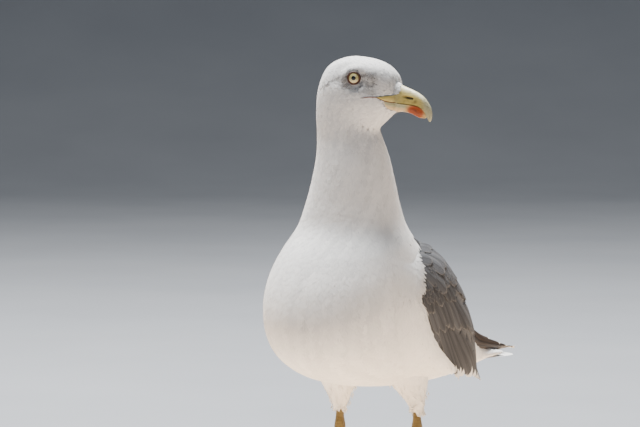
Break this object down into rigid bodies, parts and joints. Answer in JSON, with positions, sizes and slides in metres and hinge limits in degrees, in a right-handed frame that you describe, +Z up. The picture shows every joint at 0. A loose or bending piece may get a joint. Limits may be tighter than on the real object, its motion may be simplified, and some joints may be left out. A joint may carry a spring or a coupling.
{
  "type": "yellow-legged gull",
  "caption": "Life-size adult gull standing with folded wings and its head turned to the left, a still display model that rests on its webbed feet.",
  "frame": {"origin": "on the floor, under the middle of the bird's bounding box", "axes": "+Z up; the body faces -Y and its left side is +X, the way the head looks"},
  "size_m": [0.1792, 0.4814, 0.4437],
  "materials": {
    "white_plumage": "soft white body feathers with fine streaks",
    "grey_plumage": "ash-grey mantle and wing feathers with faint shafts",
    "wing_tip_plumage": "black wing-tip feathers with white spots at their ends",
    "bill_horn": "yellow horn with a pale tip and an orange-red spot",
    "eye": "pale yellow iris under a wet clear surface",
    "leg_scales": "ochre-yellow scaled skin"
  },
  "bodies": {
    "root": {"head": "white_plumage", "neck": "white_plumage", "trunk": "white_plumage", "tail": "white_plumage", "thigh_left": "white_plumage", "thigh_right": "white_plumage", "wing_left": "grey_plumage", "wing_right": "grey_plumage", "wingtip_left": "wing_tip_plumage", "wingtip_right": "wing_tip_plumage", "eye_left": "eye", "eye_right": "eye", "bill_upper": "bill_horn", "bill_lower": "bill_horn", "shank_left": "leg_scales", "shank_right": "leg_scales", "foot_left": "leg_scales", "foot_right": "leg_scales"}
  },
  "joints": []
}
